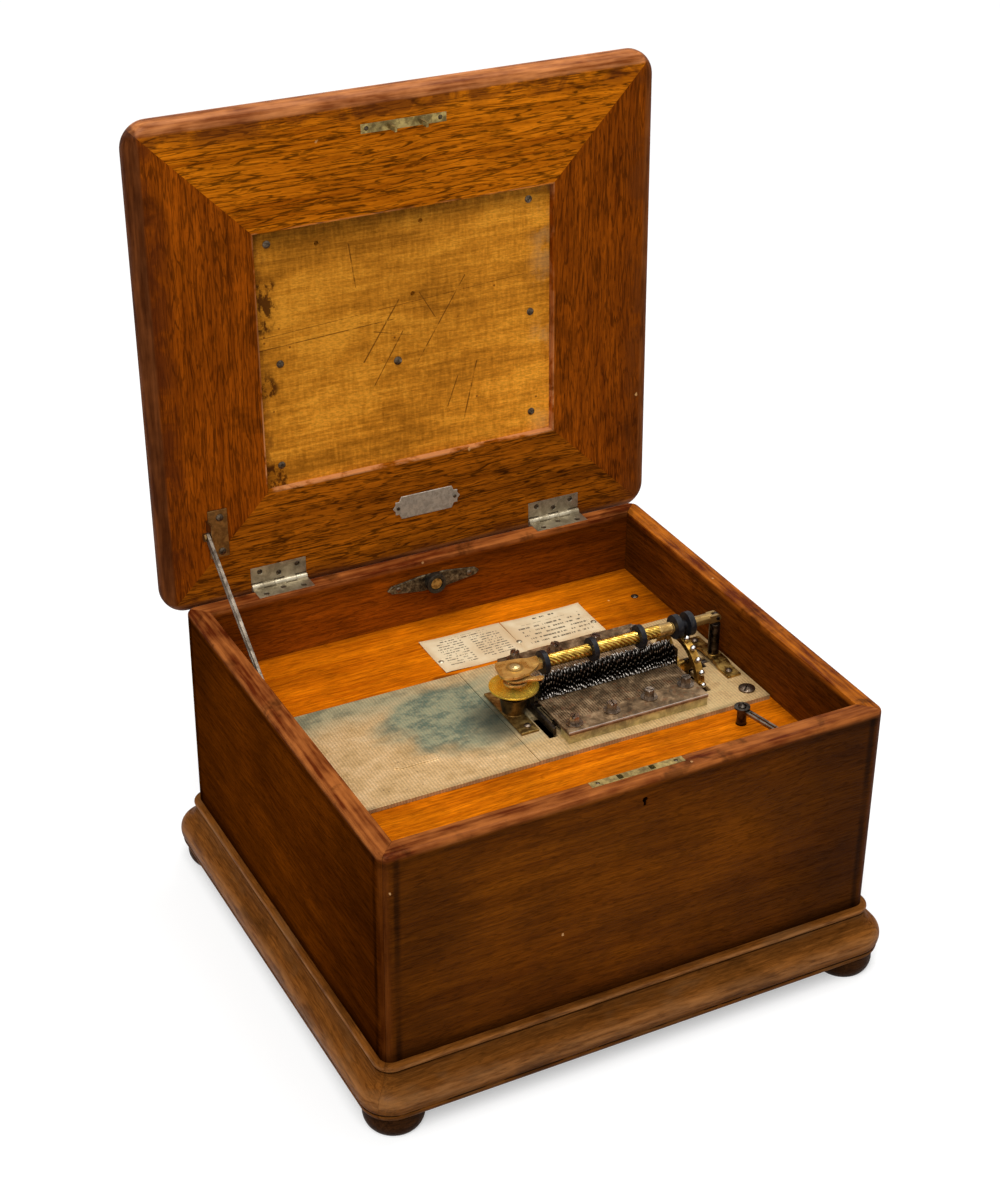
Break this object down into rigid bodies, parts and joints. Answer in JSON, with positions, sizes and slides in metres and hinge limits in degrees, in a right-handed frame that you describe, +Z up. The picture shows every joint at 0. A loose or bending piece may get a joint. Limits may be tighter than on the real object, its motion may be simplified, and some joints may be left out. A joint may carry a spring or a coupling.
{
  "type": "disc music box",
  "caption": "Oak table music box for steel discs, lid open on its stay: duplex combs, star wheels, pressure bar, drive wheel and spring motor",
  "frame": {"origin": "on the floor under the middle of the case, in the plane that the feet stand on", "axes": "+X right as seen from the front, +Y to the back, +Z up; the case is symmetric about X = 0"},
  "size_m": [0.4688, 0.4485, 0.6596],
  "materials": {
    "case_oak": "varnished oak, red-brown",
    "lid_oak": "varnished oak, red-brown",
    "deck_oak": "varnished oak, orange-brown",
    "panel_wood": "yellow varnished board",
    "raw_wood": "unfinished wood inside",
    "foot_wood": "dark turned wood",
    "gold_iron": "pale gold painted iron, ribbed",
    "brass": "aged brass",
    "comb_steel": "browned steel",
    "dark_steel": "blackened steel",
    "steel": "plain steel",
    "nickel": "worn nickel on brass",
    "bronze": "dark bronze",
    "rubber": "black rubber",
    "paper": "aged card"
  },
  "bodies": {
    "case": {"wall_front": "case_oak", "wall_back": "case_oak", "wall_left": "case_oak", "wall_right": "case_oak", "bottom_board": "raw_wood", "plinth_front": "case_oak", "plinth_back": "case_oak", "plinth_left": "case_oak", "plinth_right": "case_oak", "bun_feet": "foot_wood", "deck_board": "deck_oak", "deck_cleats": "raw_wood", "bedplate": "gold_iron", "motor_cover_plate": "gold_iron", "lock_body": "nickel", "back_wall_plate": "bronze", "cards": "paper", "card_tacks": "steel", "stay_stud": "steel", "hinge_case_leaves": "nickel", "case_screws": "steel", "comb_blocks": "bronze", "combs": "comb_steel", "comb_bolts": "comb_steel", "star_carrier": "dark_steel", "dampers": "dark_steel", "spindle_post": "bronze", "arbor_bearings": "brass", "bar_post": "brass", "motor_frame": "brass"},
    "lid": {"lid_rail_back": "lid_oak", "lid_rail_front": "lid_oak", "lid_stile_left": "lid_oak", "lid_stile_right": "lid_oak", "lid_inner_panel": "panel_wood", "lid_top_board": "lid_oak", "lid_screws": "steel", "strike_plate": "nickel", "plaque": "nickel", "hinge_lid_leaves": "nickel", "stay_bracket": "bronze"},
    "stay": {"stay_bar": "nickel"},
    "pressure_bar": {"pressure_bar": "brass"},
    "roller_left": {"roller_left": "rubber"},
    "roller_middle": {"roller_middle": "rubber"},
    "roller_right": {"roller_right": "rubber"},
    "edge_roller": {"edge_roller": "rubber"},
    "latch_hook": {"latch_hook": "bronze"},
    "disc_rest": {"disc_rest": "brass"},
    "star_wheels": {"star_wheels": "steel"},
    "drive_train": {"drive_wheel": "brass", "drive_arbor": "steel"},
    "spring_barrel": {"spring_barrel": "brass", "mainspring": "steel"},
    "winding_arbor": {"winding_arbor": "steel"},
    "click": {"click": "steel"},
    "governor_wheel": {"governor_wheel": "brass"},
    "governor_fan": {"governor_fan": "brass"},
    "stop_lever": {"stop_lever": "dark_steel"},
    "lock_bolt": {"lock_bolt": "steel"}
  },
  "joints": [
    {"name": "lid_hinge", "type": "hinge", "parent": "case", "child": "lid", "pos_m": [0, 0.1986, 0.2523], "axis": [1, 0, 0], "range_deg": [0, 92]},
    {"name": "stay_pivot", "type": "hinge", "parent": "lid", "child": "stay", "pos_m": [-0.192, 0.19283, 0.31355], "axis": [1, 0, 0], "range_deg": [-113, 0]},
    {"name": "bar_hinge", "type": "hinge", "parent": "case", "child": "pressure_bar", "pos_m": [0.185, 0.0045, 0.2387], "axis": [0, -1, 0], "range_deg": [-92, 0]},
    {"name": "latch_swing", "type": "hinge", "parent": "pressure_bar", "child": "latch_hook", "pos_m": [-0.0075, 0.0035, 0.238], "axis": [0, 0, 1], "range_deg": [-40, 0]},
    {"name": "roller_left_spin", "type": "hinge", "parent": "pressure_bar", "child": "roller_left", "pos_m": [0.0205, 0.0045, 0.2387], "axis": [1, 0, 0], "continuous": true},
    {"name": "roller_middle_spin", "type": "hinge", "parent": "pressure_bar", "child": "roller_middle", "pos_m": [0.066, 0.0045, 0.2387], "axis": [1, 0, 0], "continuous": true},
    {"name": "roller_right_spin", "type": "hinge", "parent": "pressure_bar", "child": "roller_right", "pos_m": [0.111, 0.0045, 0.2387], "axis": [1, 0, 0], "continuous": true},
    {"name": "edge_roller_spin", "type": "hinge", "parent": "pressure_bar", "child": "edge_roller", "pos_m": [0.152, 0.0045, 0.2387], "axis": [1, 0, 0], "continuous": true},
    {"name": "disc_rest_spin", "type": "hinge", "parent": "case", "child": "disc_rest", "pos_m": [-0.006, 0.0045, 0.2225], "axis": [0, 0, 1], "continuous": true},
    {"name": "star_wheels_spin", "type": "hinge", "parent": "case", "child": "star_wheels", "pos_m": [0.0773, 0.0045, 0.2155], "axis": [1, 0, 0], "continuous": true},
    {"name": "barrel_spin", "type": "hinge", "parent": "case", "child": "spring_barrel", "pos_m": [0.13, 0.0045, 0.1261], "axis": [1, 0, 0], "continuous": true},
    {"name": "drive_spin", "type": "hinge", "parent": "case", "child": "drive_train", "pos_m": [0.152, 0.0045, 0.1936], "axis": [1, 0, 0], "continuous": true},
    {"name": "governor_wheel_spin", "type": "hinge", "parent": "case", "child": "governor_wheel", "pos_m": [0.142, -0.05893, 0.14919], "axis": [1, 0, 0], "continuous": true},
    {"name": "governor_fan_spin", "type": "hinge", "parent": "case", "child": "governor_fan", "pos_m": [0.142, -0.07293, 0.14919], "axis": [0, 0, 1], "continuous": true},
    {"name": "winding_spin", "type": "hinge", "parent": "case", "child": "winding_arbor", "pos_m": [0.13, 0.0045, 0.1261], "axis": [1, 0, 0], "continuous": true},
    {"name": "click_swing", "type": "hinge", "parent": "case", "child": "click", "pos_m": [0.183, 0.0118, 0.153], "axis": [1, 0, 0], "range_deg": [0, 15]},
    {"name": "stop_lever_swing", "type": "hinge", "parent": "case", "child": "stop_lever", "pos_m": [0.1557, -0.0865, 0.197], "axis": [0, 0, 1], "range_deg": [0, 25]},
    {"name": "lock_bolt_slide", "type": "slide", "parent": "case", "child": "lock_bolt", "axis": [1, 0, 0], "range_m": [0, 0.0046]}
  ],
  "couplings": [
    {"joint": "stay_pivot", "follows": "lid_hinge", "ratio": -1.2272},
    {"joint": "drive_spin", "follows": "barrel_spin", "ratio": -8},
    {"joint": "governor_wheel_spin", "follows": "barrel_spin", "ratio": -8},
    {"joint": "governor_fan_spin", "follows": "barrel_spin", "ratio": -160}
  ]
}
